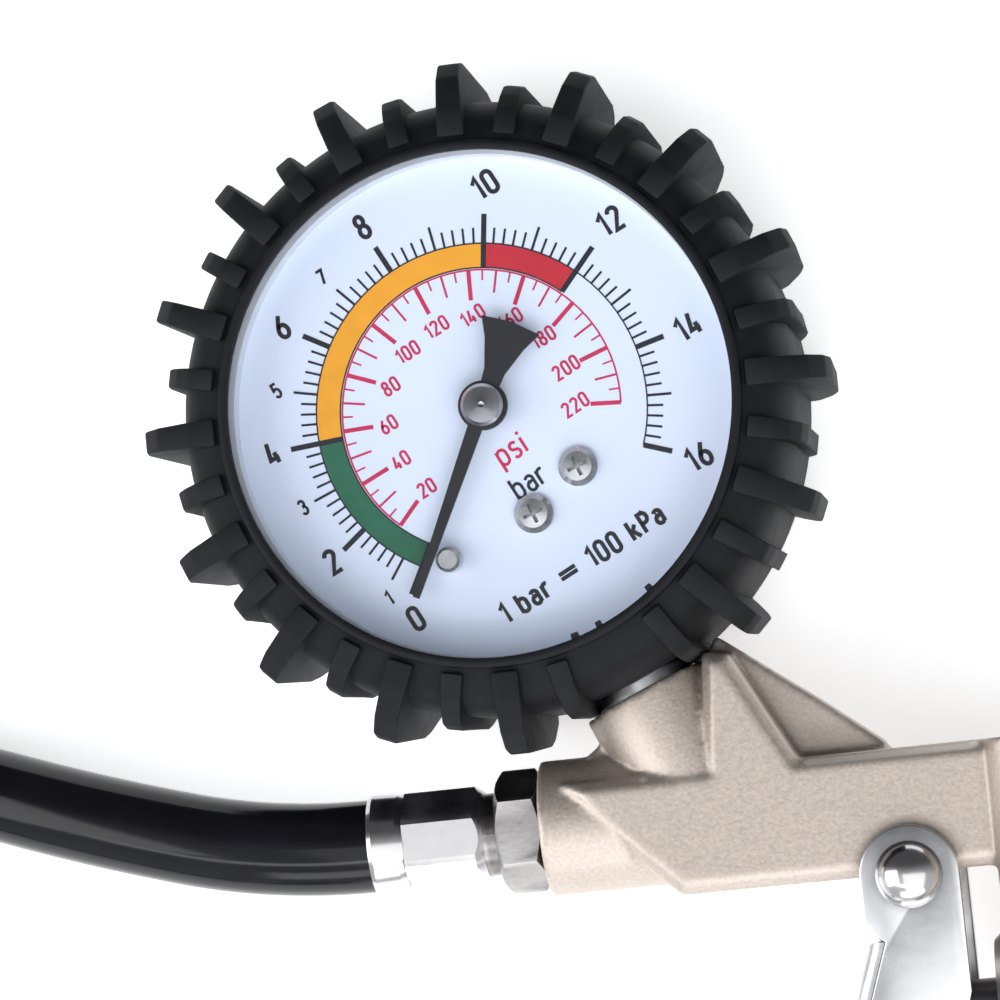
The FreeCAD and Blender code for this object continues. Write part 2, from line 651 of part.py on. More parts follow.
def chuck_depressor():
    pin = rod(V(30.6, 0, 0), X, 0.9, 7.2)
    spider = rod(V(31.0, 0, 0), X, 1.95, 1.2)
    return union([pin, spider])


def chuck_lever():
    """Thumb lever: a pad over the ferrule, a hub between the ears and a nose that grips the valve."""
    side = [
        (-2.0, 15.6), (-1.4, 17.0), (8.0, 15.4), (20.0, 14.0), (31.0, 13.6), (36.0, 13.0), (42.0, 10.6),
        (42.0, 4.7), (39.4, 4.7), (39.2, 9.0), (34.0, 9.4), (31.0, 7.9), (28.6, 9.0), (20.0, 12.4),
        (8.0, 13.8),
    ]
    corners = [V(x, -2.9, z) for x, z in side]
    arm = Part.Face(Part.makePolygon(corners + corners[:1])).extrude(V(0, 5.8, 0))
    nose_side = block(38.0, 43.0, 1.75, 4, 0, 9.4).fuse(block(38.0, 43.0, -4, -1.75, 0, 9.4))
    arm = arm.cut(nose_side)
    pad_side = [(-2.0, 15.6), (-1.4, 17.0), (8.0, 15.4), (17.0, 14.35), (17.0, 12.9), (8.0, 13.8)]
    corners = [V(x, -6.5, z) for x, z in pad_side]
    pad = Part.Face(Part.makePolygon(corners + corners[:1])).extrude(V(0, 13.0, 0))
    return union([arm, pad]).cut(rod(CHUCK_LEVER_PIVOT - Y * 8, Y, 1.3, 16))


def chuck_lever_pin():
    return rod(CHUCK_LEVER_PIVOT - Y * 5.6, Y, 1.25, 11.2)


def chuck_spring():
    rings = [Part.makeTorus(1.5, 0.25, V(21.6, 0, 8.0 + 0.82 * k), Z) for k in range(4)]
    rail = rod(V(23.1, 0, 8.0), Z, 0.22, 2.46)
    return union(rings + [rail])


# ---- the pieces ----
os.makedirs("parts", exist_ok=True)

ferrule_base = V(HOSE_END_X, BARREL_Y, MID_Z)

PIECES = {
    "gauge_boot": gauge_boot(),
    "gauge_case": gauge_case(),
    "gauge_lens": gauge_lens(),
    "lens_gasket": lens_gasket(),
    "dial_ring": dial_ring(),
    "dial_plate": dial_plate(),
    "dial_screw_1": dial_screw(SCREW_PLACES[0]),
    "dial_screw_2": dial_screw(SCREW_PLACES[1]),
    "zero_stop_pin": zero_stop_pin(),
    "gauge_socket": gauge_socket(),
    "bourdon_tube": bourdon_tube(),
    "movement_back_plate": movement_plate(BACK_PLATE_Z, 1.0, True),
    "movement_front_plate": movement_plate(FRONT_PLATE_Z, 1.0, False),
    "sector_gear": sector_gear(),
    "movement_link": movement_link(),
    "pinion_arbor": pinion_arbor(),
    "hairspring": hairspring(),
    "pointer": pointer(),
    "pointer_hub": pointer_hub(),
    "stem_washer": stem_washer(),
    "gun_body": gun_body(),
    "handle_grip": handle_grip(),
    "inlet_bush": inlet_bush(),
    "trigger": trigger(),
    "trigger_pin": trigger_pin(),
    "valve_gland": valve_gland(),
    "stem_seal": stem_seal(),
    "valve_stem": valve_stem(),
    "poppet_seal": poppet_seal(),
    "valve_spring": valve_spring(),
    "valve_plug": valve_plug(),
    "outlet_nipple": outlet_nipple(),
    "outlet_ferrule": crimp_ferrule(ferrule_base, X, 13.7),
    "outlet_hose_tail": hose_tail(ferrule_base, X, 13.7),
    "hose": hose(),
    "chuck_ferrule": at_hose_end(crimp_ferrule(V(0, 0, 0), X, 13.0)),
    "chuck_hose_tail": at_hose_end(hose_tail(V(0, 0, 0), X, 13.0)),
    "chuck_body": at_hose_end(chuck_body()),
    "chuck_gasket": at_hose_end(chuck_gasket()),
    "chuck_depressor": at_hose_end(chuck_depressor()),
    "chuck_lever": at_hose_end(chuck_lever()),
    "chuck_lever_pin": at_hose_end(chuck_lever_pin()),
    "chuck_spring": at_hose_end(chuck_spring()),
}

for piece_name, piece_shape in PIECES.items():
    export(piece_name, piece_shape)
    if not piece_shape.isValid() or len(piece_shape.Solids) != 1:
        print("look at", piece_name, "valid", piece_shape.isValid(), "solids", len(piece_shape.Solids))
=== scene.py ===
import math

import bmesh
import bpy
from mathutils import Matrix, Vector


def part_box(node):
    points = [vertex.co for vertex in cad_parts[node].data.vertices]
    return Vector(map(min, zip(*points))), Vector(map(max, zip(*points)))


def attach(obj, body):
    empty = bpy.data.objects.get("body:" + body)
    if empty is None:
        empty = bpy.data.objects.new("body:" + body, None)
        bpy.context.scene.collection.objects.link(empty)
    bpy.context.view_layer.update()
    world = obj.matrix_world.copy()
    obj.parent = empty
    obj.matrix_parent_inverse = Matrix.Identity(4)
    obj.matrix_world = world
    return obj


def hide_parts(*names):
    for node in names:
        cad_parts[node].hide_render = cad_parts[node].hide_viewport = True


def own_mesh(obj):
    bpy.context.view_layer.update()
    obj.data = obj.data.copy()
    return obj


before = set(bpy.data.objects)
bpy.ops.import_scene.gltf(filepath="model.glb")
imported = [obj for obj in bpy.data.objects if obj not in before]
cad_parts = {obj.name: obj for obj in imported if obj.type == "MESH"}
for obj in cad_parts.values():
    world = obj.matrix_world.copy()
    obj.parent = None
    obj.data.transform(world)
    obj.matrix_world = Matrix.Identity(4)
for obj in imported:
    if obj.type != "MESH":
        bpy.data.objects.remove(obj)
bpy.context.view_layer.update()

# Tyre inflator with gauge. Outlines are written in millimetres about the gauge's centre, with Z up
# from the surface that the tool lies on, and at() puts them in the frame's metres. The hose's route,
# the camera and the lights are in metres.

MM = 0.001
case_low, case_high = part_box("gauge_case")
GAUGE = (case_low + case_high) / 2
MID_Z = 14.0  # mid-plane of the gun, of the gauge's stem and of the outlet
STEM_ANGLE = -67.5  # direction of the gauge's stem


def at(x, y, z=0.0):
    return Vector((GAUGE.x + x * MM, GAUGE.y + y * MM, z * MM))


def polar(radius, degrees):
    return radius * math.cos(math.radians(degrees)), radius * math.sin(math.radians(degrees))


# ---- camera, floor and light ----
CAMERA_SPOT = Vector((0.0607, 0.0103, 0.572))
CAMERA_AIM = Vector((-0.01775, 0.05077, 0.033))
CAMERA_ROLL = 5.77
CAMERA_LENS = 170.7
FLOOR_HALF = 2.5
FLOOR_GLOW = 0.55
SKY_BRIGHT, SKY_DIM = 0.75, 0.1
SKY_FALL = (-0.25, 0.55)  # directions along Y where the sky starts to dim and where it is dimmest
BACKDROP = 0.9
LIGHTS = (  # name, place, target, size and watts
    ("overhead", (0.45, -0.6, 0.9), (0.45, -0.6, 0), (1.5, 1.3), 6),
    ("strip", (-0.1, -0.6, 0.85), (-0.1, 0, 0), (1.6, 0.12), 2.5),
    ("left", (-0.9, -0.1, 0.6), (0, 0, 0), (0.8, 0.9), 6),
    ("front", (0.1, -0.9, 0.4), (0, 0, 0), (1.2, 0.35), 3.5),
)


def set_camera():
    ahead = (CAMERA_AIM - CAMERA_SPOT).normalized()
    roll = math.radians(CAMERA_ROLL)
    right = ahead.cross(Vector((math.sin(roll), math.cos(roll), 0))).normalized()
    camera = bpy.data.objects.new("camera", bpy.data.cameras.new("camera"))
    camera.data.lens = CAMERA_LENS
    camera.data.clip_start = 0.01
    turn = Matrix((right, right.cross(ahead), -ahead)).transposed().to_4x4()
    camera.matrix_world = Matrix.Translation(CAMERA_SPOT) @ turn
    bpy.context.scene.collection.objects.link(camera)
    bpy.context.scene.camera = camera


def soft_light(name, spot, target, size, watts):
    """A rectangular softbox that faces its target."""
    light = bpy.data.lights.new(name, "AREA")
    light.shape = "RECTANGLE"
    light.size, light.size_y = size
    light.energy = watts
    holder = bpy.data.objects.new(name, light)
    holder.location = spot
    aim = Vector(target) - Vector(spot)
    holder.rotation_euler = aim.to_track_quat("-Z", "Y").to_euler()
    bpy.context.scene.collection.objects.link(holder)


def set_stage():
    bm = bmesh.new()
    bmesh.ops.create_grid(bm, x_segments=1, y_segments=1, size=FLOOR_HALF)
    mesh = bpy.data.meshes.new("floor")
    bm.to_mesh(mesh)
    bm.free()
    floor = bpy.data.objects.new("floor", mesh)
    white = surface("floor_white", (0.93, 0.93, 0.94), rough=0.7, mottle=0.01)
    shader = white.node_tree.nodes["Principled BSDF"]
    shader.inputs["Emission Color"].default_value = (1, 1, 1, 1)
    shader.inputs["Emission Strength"].default_value = FLOOR_GLOW
    mesh.materials.append(white)
    bpy.context.scene.collection.objects.link(floor)
    set_world()
    for light in LIGHTS:
        soft_light(*light)
    bpy.context.scene.view_settings.view_transform = "Standard"


def set_world():
    """A pale studio, dimmer towards +Y, with an even backdrop where the camera sees it directly."""
    world = bpy.data.worlds.new("studio")
    world.use_nodes = True
    nodes, links = world.node_tree.nodes, world.node_tree.links
    place = nodes.new("ShaderNodeTexCoord")
    split = nodes.new("ShaderNodeSeparateXYZ")
    fall = nodes.new("ShaderNodeMapRange")
    fall.interpolation_type = "SMOOTHSTEP"
    fall.inputs["From Min"].default_value = SKY_FALL[0]
    fall.inputs["From Max"].default_value = SKY_FALL[1]
    fall.inputs["To Min"].default_value = SKY_BRIGHT
    fall.inputs["To Max"].default_value = SKY_DIM
    links.new(place.outputs["Generated"], split.inputs["Vector"])
    links.new(split.outputs["Y"], fall.inputs["Value"])
    sky = nodes["Background"]
    sky.inputs["Color"].default_value = (0.96, 0.98, 1, 1)
    links.new(fall.outputs["Result"], sky.inputs["Strength"])
    backdrop = nodes.new("ShaderNodeBackground")
    backdrop.inputs["Strength"].default_value = BACKDROP
    path = nodes.new("ShaderNodeLightPath")
    mix = nodes.new("ShaderNodeMixShader")
    links.new(path.outputs["Is Camera Ray"], mix.inputs["Fac"])
    links.new(sky.outputs["Background"], mix.inputs[1])
    links.new(backdrop.outputs["Background"], mix.inputs[2])
    links.new(mix.outputs["Shader"], nodes["World Output"].inputs["Surface"])
    bpy.context.scene.world = world


# ---- materials ----
MIX_A, MIX_B, MIX_RESULT = 6, 7, 2  # a colour mix's sockets, which share their names with others


def colour_mix(nodes, links, share):
    """A node that mixes two colours by a share."""
    mix = nodes.new("ShaderNodeMix")
    mix.data_type = "RGBA"
    links.new(share, mix.inputs["Factor"])
    return mix


def surface(name, color, rough, metal=0.0, mottle=0.06, grain=400.0, rough_spread=0.06,
            bump=0.0, bump_grain=3000.0, shine=0.5, edge_wear_and_highlight=None, painted_crease_shade=None):
    """A material whose colour, roughness and relief vary by noise.

    The edge colour is for sharp convex edges: wear, and on the nut a painted highlight. The crease reach
    in millimetres and colour give painted shade, darkening creases and recesses by ambient occlusion.
    """
    made = bpy.data.materials.new(name)
    made.use_nodes = True
    nodes, links = made.node_tree.nodes, made.node_tree.links
    shader = nodes["Principled BSDF"]
    shader.inputs["Metallic"].default_value = metal
    shader.inputs["Specular IOR Level"].default_value = shine
    place = nodes.new("ShaderNodeTexCoord")
    noise = nodes.new("ShaderNodeTexNoise")
    noise.inputs["Scale"].default_value = grain
    noise.inputs["Detail"].default_value = 6
    links.new(place.outputs["Object"], noise.inputs["Vector"])
    ramp = nodes.new("ShaderNodeValToRGB")
    ramp.color_ramp.elements[0].position = 0.3
    ramp.color_ramp.elements[1].position = 0.7
    ramp.color_ramp.elements[0].color = [c * (1 - mottle) for c in color] + [1]
    ramp.color_ramp.elements[1].color = [min(1, c * (1 + mottle)) for c in color] + [1]
    links.new(noise.outputs["Fac"], ramp.inputs["Fac"])
    tint = ramp.outputs["Color"]
    # Sharp convex edges take the edge colour: wear on the casting and the boot, and a painted highlight on
    # the nut.
    if edge_wear_and_highlight:
        edge = nodes.new("ShaderNodeNewGeometry")
        sharp = nodes.new("ShaderNodeValToRGB")
        sharp.color_ramp.elements[0].position = 0.52
        sharp.color_ramp.elements[1].position = 0.62
        links.new(edge.outputs["Pointiness"], sharp.inputs["Fac"])
        mix = colour_mix(nodes, links, sharp.outputs["Color"])
        links.new(tint, mix.inputs[MIX_A])
        mix.inputs[MIX_B].default_value = list(edge_wear_and_highlight) + [1]
        tint = mix.outputs[MIX_RESULT]
    # Painted shade: ambient occlusion darkens creases and recesses towards the crease colour.
    if painted_crease_shade:
        reach, dark = painted_crease_shade
        open_sky = nodes.new("ShaderNodeAmbientOcclusion")
        open_sky.inputs["Distance"].default_value = reach * MM
        mix = colour_mix(nodes, links, open_sky.outputs["AO"])
        mix.inputs[MIX_A].default_value = list(dark) + [1]
        links.new(tint, mix.inputs[MIX_B])
        tint = mix.outputs[MIX_RESULT]
    links.new(tint, shader.inputs["Base Color"])
    spread = nodes.new("ShaderNodeMapRange")
    spread.inputs["To Min"].default_value = max(0.02, rough - rough_spread)
    spread.inputs["To Max"].default_value = rough + rough_spread
    links.new(noise.outputs["Fac"], spread.inputs["Value"])
    links.new(spread.outputs["Result"], shader.inputs["Roughness"])
    if bump:
        fine = nodes.new("ShaderNodeTexNoise")
        fine.inputs["Scale"].default_value = bump_grain
        fine.inputs["Detail"].default_value = 3
        links.new(place.outputs["Object"], fine.inputs["Vector"])
        relief = nodes.new("ShaderNodeBump")
        relief.inputs["Strength"].default_value = 1.0
        relief.inputs["Distance"].default_value = bump * MM
        links.new(fine.outputs["Fac"], relief.inputs["Height"])
        links.new(relief.outputs["Normal"], shader.inputs["Normal"])
    return made


def clear_lens():
    """Thin clear glass: light goes straight through, and only the outer faces have a faint gloss."""
    made = bpy.data.materials.new("clear_lens")
    made.use_nodes = True
    nodes, links = made.node_tree.nodes, made.node_tree.links
    nodes.remove(nodes["Principled BSDF"])
    through = nodes.new("ShaderNodeBsdfTransparent")
    through.inputs["Color"].default_value = (0.97, 0.98, 1.0, 1)
    gloss = nodes.new("ShaderNodeBsdfGlossy")
    place = nodes.new("ShaderNodeTexCoord")
    smear = nodes.new("ShaderNodeTexNoise")
    smear.inputs["Scale"].default_value = 60
    spread = nodes.new("ShaderNodeMapRange")
    spread.inputs["To Min"].default_value = 0.02
    spread.inputs["To Max"].default_value = 0.07
    links.new(place.outputs["Object"], smear.inputs["Vector"])
    links.new(smear.outputs["Fac"], spread.inputs["Value"])
    links.new(spread.outputs["Result"], gloss.inputs["Roughness"])
    fresnel = nodes.new("ShaderNodeFresnel")
    fresnel.inputs["IOR"].default_value = 1.3
    faces = nodes.new("ShaderNodeNewGeometry")
    outside = nodes.new("ShaderNodeMapRange")
    outside.inputs["To Min"].default_value = 1
    outside.inputs["To Max"].default_value = 0
    links.new(faces.outputs["Backfacing"], outside.inputs["Value"])
    share = nodes.new("ShaderNodeMath")
    share.operation = "MULTIPLY"
    links.new(fresnel.outputs["Fac"], share.inputs[0])
    links.new(outside.outputs["Result"], share.inputs[1])
    mix = nodes.new("ShaderNodeMixShader")
    links.new(share.outputs["Value"], mix.inputs["Fac"])
    links.new(through.outputs["BSDF"], mix.inputs[1])
    links.new(gloss.outputs["BSDF"], mix.inputs[2])
    links.new(mix.outputs["Shader"], nodes["Material Output"].inputs["Surface"])
    return made


# ---- mesh helpers ----
def show(name, mesh, body, finish, replaced=()):
    """Make a piece of a finished mesh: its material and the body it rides."""
    piece = bpy.data.objects.new(name, mesh)
    bpy.context.scene.collection.objects.link(piece)
    mesh.materials.clear()
    mesh.materials.append(finish)
    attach(piece, body)
    if replaced:
        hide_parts(*replaced)
    return piece


def mesh_of(bm, sharp=35):
    """Close a bmesh into a mesh, smooth except where faces meet at more than sharp degrees."""
    bmesh.ops.remove_doubles(bm, verts=bm.verts[:], dist=1e-7)
    bmesh.ops.recalc_face_normals(bm, faces=bm.faces[:])
    mesh = bpy.data.meshes.new("mesh")
    bm.to_mesh(mesh)
    bm.free()
    mesh.polygons.foreach_set("use_smooth", [True] * len(mesh.polygons))
    mesh.set_sharp_from_angle(angle=math.radians(sharp))
    return mesh


def with_modifiers(mesh, *steps, sharp=35):
    """The mesh after modifiers, each given as (type, settings)."""
    holder = bpy.data.objects.new("holder", mesh)
    bpy.context.scene.collection.objects.link(holder)
    for kind, settings in steps:
        step = holder.modifiers.new(kind.lower(), kind)
        for key, value in settings.items():
            setattr(step, key, value)
    view = bpy.context.evaluated_depsgraph_get()
    made = bpy.data.meshes.new_from_object(holder.evaluated_get(view))
    bpy.data.objects.remove(holder)
    made.set_sharp_from_angle(angle=math.radians(sharp))
    return made


def lathe(bm, profile, steps):
    """Turn a closed profile of (radius, z) about the gauge's axis."""
    rings = []
    for k in range(steps):
        c, s = polar(1, 360 * k / steps)
        rings.append([bm.verts.new(at(r * c, r * s, z)) for r, z in profile])
    for k, near in enumerate(rings):
        far = rings[(k + 1) % steps]
        for j in range(len(profile)):
            i = (j + 1) % len(profile)
            if profile[j][0] > 0 or profile[i][0] > 0:
                bm.faces.new((near[j], far[j], far[i], near[i]))


def extruded(bm, low, high):
    """A closed solid between two outlines of the same number of points."""
    bottom = [bm.verts.new(p) for p in low]
    top = [bm.verts.new(p) for p in high]
    bm.faces.new(bottom[::-1])
    bm.faces.new(top)
    for j in range(len(low)):
        i = (j + 1) % len(low)
        bm.faces.new((bottom[j], bottom[i], top[i], top[j]))


def join_rings(bm, rings):
    """A closed solid along rings of vertices of the same number."""
    for near, far in zip(rings, rings[1:]):
        for j in range(len(near)):
            i = (j + 1) % len(near)
            bm.faces.new((near[j], near[i], far[i], far[j]))
    bm.faces.new(rings[0][::-1])
    bm.faces.new(rings[-1])


def arc(cx, cy, rx, ry, start, end, steps=8):
    """Points of an elliptic arc from start to end degrees."""
    points = []
    for k in range(steps + 1):
        a = math.radians(start + (end - start) * k / steps)
        points.append((cx + rx * math.cos(a), cy + ry * math.sin(a)))
    return points


# ---- the gauge's rubber boot ----
LUGS = 16  # places for tall lugs; the stem takes one, and short lugs stand between them
LUG_EDGE = 0.32
LUG_ROOT_R, LUG_REACH = 30, 12  # a lug's half width runs from root to tip over this stretch of radius
TALL_WIDTHS = (1.65, 1.3)
SHORT_WIDTHS = (1.35, 1.0)
STEM_HOLE_R, STEM_HOLE_DEPTH, STEM_HOLE_AT = 6.4, 16, 34
RIM_TABS = ((287, 0.55), (293, 0.45), (307, 0.5))  # angle and half width
TAB_IN, TAB_OUT = 28.9, 29.9
TAB_LOW, TAB_HIGH = 32.05, 32.7
TAB_TAPER = 0.7
# The closed outlines are (radius, z).
SHOULDER = [
    (0, 0), (33.6, 0), (34.8, 0.5), (35.4, 1.2), (36.2, 4.0), (36.2, 23.0), (35.9, 26.0), (35.3, 28.4),
    (34.4, 30.3), (33.2, 31.4), (31.6, 32.0), (30.75, 32.2), (30.6, 32.8), (30.3, 33.0), (29.8, 33.0),
    (29.5, 32.8), (29.5, 32.0), (31.5, 32.0), (31.5, 2.2), (0, 2.2),
]
TALL_LUG = [
    (33.0, 1.2), (37.2, 1.2), (39.2, 5.0), (39.9, 8.0), (40.7, 26.0), (40.2, 29.0),
    (38.3, 31.2), (34.5, 32.6), (31.2, 33.0), (31.2, 31.9), (32.0, 31.6), (33.0, 29.5),
]
SHORT_LUG = [
    (33.0, 1.6), (36.2, 1.6), (37.1, 4.5), (37.5, 8.0), (37.9, 26.0), (37.4, 29.0),
    (36.2, 30.6), (34.4, 32.0), (31.4, 32.9), (31.4, 31.9), (32.0, 31.6), (33.0, 29.5),
]


def lug(bm, angle, outline, root, tip):
    """One straight tread bar, root wide at the boot and tip wide at its end (half widths)."""
    along = Vector((*polar(1, angle), 0))
    across = Vector((-along.y, along.x, 0))
    sides = []
    for side in (-1, 1):
        edge = []
        for r, z in outline:
            half = root + (tip - root) * (r - LUG_ROOT_R) / LUG_REACH
            spot = along * r + across * half * side
            edge.append(at(spot.x, spot.y, z))
        sides.append(edge)
    extruded(bm, *sides)


def boot(finish):
    """The rubber cover: a turned shell with a hole for the stem, tread lugs and three small tabs."""
    base = bmesh.new()
    lathe(base, SHOULDER, 192)
    base_mesh = mesh_of(base)
    hole = bmesh.new()
    stem = Vector((*polar(1, STEM_ANGLE), 0))
    place = Matrix.Translation(at(*polar(STEM_HOLE_AT, STEM_ANGLE), MID_Z))
    turn = stem.to_track_quat("Z", "Y").to_matrix().to_4x4()
    bmesh.ops.create_cone(hole, cap_ends=True, segments=48, radius1=STEM_HOLE_R * MM,
                          radius2=STEM_HOLE_R * MM, depth=STEM_HOLE_DEPTH * MM, matrix=place @ turn)
    cutter = bpy.data.objects.new("cutter", mesh_of(hole))
    bpy.context.scene.collection.objects.link(cutter)
    base_mesh = with_modifiers(base_mesh, ("BOOLEAN", {"object": cutter, "solver": "EXACT"}))
    bpy.data.objects.remove(cutter)
    whole = bmesh.new()
    for k in range(1, 2 * LUGS):
        angle = STEM_ANGLE + k * 180 / LUGS
        if k % 2:
            lug(whole, angle, SHORT_LUG, *SHORT_WIDTHS)
        else:
            lug(whole, angle, TALL_LUG, *TALL_WIDTHS)
    edges = whole.edges[:]
    bmesh.ops.bevel(whole, geom=edges, offset=LUG_EDGE * MM, segments=2, profile=0.5, affect="EDGES")
    for angle, half in RIM_TABS:
        along = Vector((*polar(1, angle), 0))
        across = Vector((-along.y, along.x, 0))
        wide, narrow = across * half, across * half * TAB_TAPER
        corners = [along * TAB_OUT - wide, along * TAB_IN - narrow, along * TAB_IN + narrow,
                   along * TAB_OUT + wide]
        low = [at(p.x, p.y, TAB_LOW) for p in corners]
        high = [at(p.x, p.y, TAB_HIGH) for p in corners]
        extruded(whole, low, high)
    whole.from_mesh(base_mesh)
    show("boot", mesh_of(whole, 40), "frame", finish, ["gauge_boot"])


# ---- the dial's print ----
PRINT = Vector((-0.5, -0.35))  # centre of the printed scale from the pointer's axis
DIAL_TOP = 26.9
LETTER_TURN = 27  # the lettering's baseline from +X
BAND_IN, BAND_OUT = 16.7, 19.55
BANDS = (("band_low", 0, 4), ("band_middle", 4, 10), ("band_high", 10, 12))  # name and ends in bar
BAND_ENDS = (4, 10, 12)
STROKE_LIFT = 0.006  # keeps strokes that cross out of one plane
BAND_DEEP, RED_DEEP, BLACK_DEEP = 0.02, 0.03, 0.04

# The bar scale: ticks are (outer radius, width), letters (height, stroke), labels (bar, radius).
BAR_START, BAR_STEP = 253.2, 16.98  # degrees that an even scale would have at 0, and for each bar
LOW_START, LOW_STEP = 243.3, 7.1  # the same below 1 bar, where the scale is closer set
BAR_TOP = 16
TICKS_A_BAR = 5
BAR_LINE = 0.17
EVEN_TICK, WHOLE_TICK, PART_TICK = (23.0, 0.62), (22.4, 0.3), (21.4, 0.26)
ZERO_TICK = (23.0, 0.6)
LARGE, SMALL = (3.2, 0.52), (2.0, 0.32)
LARGE_LABELS = (
    (2, 24.9), (4, 25.3), (6, 25.8), (8, 25.9), (10, 26.4), (12, 26.6), (14, 26.0), (16, 26.1),
)
SMALL_LABELS = ((3, 23.9), (5, 24.5), (7, 24.7))
ZERO_LABEL, ONE_LABEL = (25.5, 3.4), (24.5, 1.6)  # radius, and degrees past the tick

# The psi scale: ticks are (inner radius, width).
PSI_START, PSI_STEP = 252.1, 1.161
PSI_TOP = 220
PSI_R = 16.45
PSI_LINE = 0.2
PSI_LABEL_R = 11.1
TINY = (1.9, 0.3)
TWENTY_TICK, TEN_TICK, FIVE_TICK = (12.9, 0.5), (13.8, 0.26), (15.2, 0.2)

# The words: text, its middle, height and stroke.
BLACK_WORDS = (("bar", 4.2, -9.2, 2.9, 0.36), ("1 bar = 100 kPa", 9.4, -19.5, 2.8, 0.48))
RED_WORD = ("psi", 2.4, -5.3, 3.0, 0.36)


def bar_angle(bar):
    return BAR_START - BAR_STEP * bar if bar >= 1 else LOW_START - LOW_STEP * bar


def psi_angle(psi):
    return PSI_START - PSI_STEP * psi


def on_print(radius, degrees):
    x, y = polar(radius, degrees)
    return PRINT.x + x, PRINT.y + y


def ribbon(bm, points, width, lift=0.0):
    """A flat stroke of one width along a line of (x, y) points; it closes if the ends meet."""
    line = [Vector(p) for p in points]
    closed = (line[0] - line[-1]).length < 1e-6
    if closed:
        line = line[:-1]
    pairs = []
    for k, spot in enumerate(line):
        ways = []
        if closed or k > 0:
            ways.append((spot - line[k - 1]).normalized())
        if closed or k < len(line) - 1:
            ways.append((line[(k + 1) % len(line)] - spot).normalized())
        mean = sum(ways, Vector((0, 0))).normalized()
        reach = width / 2 / max(0.6, mean.dot(ways[0]))
        side = Vector((-mean.y, mean.x)) * reach
        pairs.append((spot + side, spot - side))
    verts = []
    for a, b in pairs:
        verts.append([bm.verts.new(at(p.x, p.y, DIAL_TOP + lift)) for p in (a, b)])
    for k in range(len(verts) if closed else len(verts) - 1):
        a, b = verts[k], verts[(k + 1) % len(verts)]
        bm.faces.new((a[0], a[1], b[1], b[0]))


# The letters are strokes through (x, y) points, for a height of 1.
WIDE = 0.42  # a figure's width
BOWL = arc(0.2, 0.48, 0.2, 0.22, 0, 180) + arc(0.2, 0.22, 0.2, 0.22, 180, 360)
BOWL.append(BOWL[0])
RING = arc(WIDE / 2, 1 - WIDE / 2, WIDE / 2, WIDE / 2, 0, 180)
RING += arc(WIDE / 2, WIDE / 2, WIDE / 2, WIDE / 2, 180, 360)
RING.append(RING[0])
SIX = [(0.33, 1.0), (0.1, 0.6)] + arc(WIDE / 2, 0.29, WIDE / 2, 0.29, 150, 500, 20)
GLYPHS = {
    "0": [RING],
    "1": [[(0.02, 0.76), (0.24, 1.0), (0.24, 0.0)]],
    "2": [arc(WIDE / 2, 1 - WIDE / 2, WIDE / 2, WIDE / 2, 175, -35) + [(0, 0), (WIDE, 0)]],
    "3": [arc(0.2, 0.76, 0.19, 0.24, 160, -80) + arc(0.2, 0.27, 0.21, 0.27, 80, -160)],
    "4": [[(WIDE, 0.25), (0, 0.25), (0.2, 1.0)], [(0.3, 0.5), (0.3, 0.0)]],
    "5": [[(0.38, 1), (0.05, 1), (0.03, 0.54)] + arc(0.2, 0.31, 0.21, 0.31, 130, -155, 12)],
    "6": [SIX],
    "7": [[(0, 1), (WIDE, 1), (0.13, 0)]],
    "8": [arc(WIDE / 2, 0.27, WIDE / 2, 0.27, 90, 450, 18), arc(WIDE / 2, 0.77, 0.18, 0.23, -90, 270, 18)],
    "9": [[(WIDE - x, 1 - y) for x, y in SIX]],
    "a": [arc(0.19, 0.52, 0.18, 0.18, 155, 0) + [(0.37, 0)],
          [(0.37, 0.42), (0.17, 0.42)] + arc(0.17, 0.21, 0.17, 0.21, 90, 270) + [(0.25, 0), (0.36, 0.1)]],
    "b": [BOWL, [(0, 1), (0, 0)]],
    "p": [BOWL, [(0, 0.7), (0, -0.3)]],
    "s": [arc(0.17, 0.53, 0.17, 0.17, 30, 260) + arc(0.17, 0.18, 0.18, 0.18, 80, -150)],
    "i": [[(0, 0), (0, 0.7)], [(0, 0.86), (0, 1.0)]],
    "r": [[(0, 0), (0, 0.7)], arc(0.2, 0.48, 0.2, 0.22, 180, 60)],
    "k": [[(0, 0), (0, 1)], [(0.36, 0.7), (0.02, 0.3)], [(0.14, 0.42), (0.38, 0)]],
    "P": [[(0, 0), (0, 1), (0.2, 1)] + arc(0.2, 0.74, 0.2, 0.26, 90, -90) + [(0, 0.48)]],
    "=": [[(0, 0.36), (0.95, 0.36)], [(0, 0.62), (0.95, 0.62)]],
    " ": [],
}


def lettering(bm, text, x, y, height, stroke):
    """Text along LETTER_TURN, centred on (x, y)."""
    scale = height - stroke
    gap = 0.12 + stroke / scale
    reach = 0.0
    placed = []
    for letter in text:
        strokes = GLYPHS[letter]
        placed.append((reach, strokes))
        wide = max([p[0] for line in strokes for p in line], default=0.1)
        reach += wide + gap
    reach -= gap
    c, s = polar(1, LETTER_TURN)
    for start, strokes in placed:
        for layer, line in enumerate(strokes):
            spots = []
            for px, py in line:
                u, v = (start + px - reach / 2) * scale, (py - 0.5) * scale
                spots.append((x + u * c - v * s, y + u * s + v * c))
            ribbon(bm, spots, stroke, layer * STROKE_LIFT)


def tick(bm, angle, inner, outer, width):
    ribbon(bm, [on_print(inner, angle), on_print(outer, angle)], width)


def sweep(bm, radius, start, end, width):
    """A curved stroke about the print's centre."""
    ribbon(bm, arc(PRINT.x, PRINT.y, radius, radius, start, end, 60), width, STROKE_LIFT)


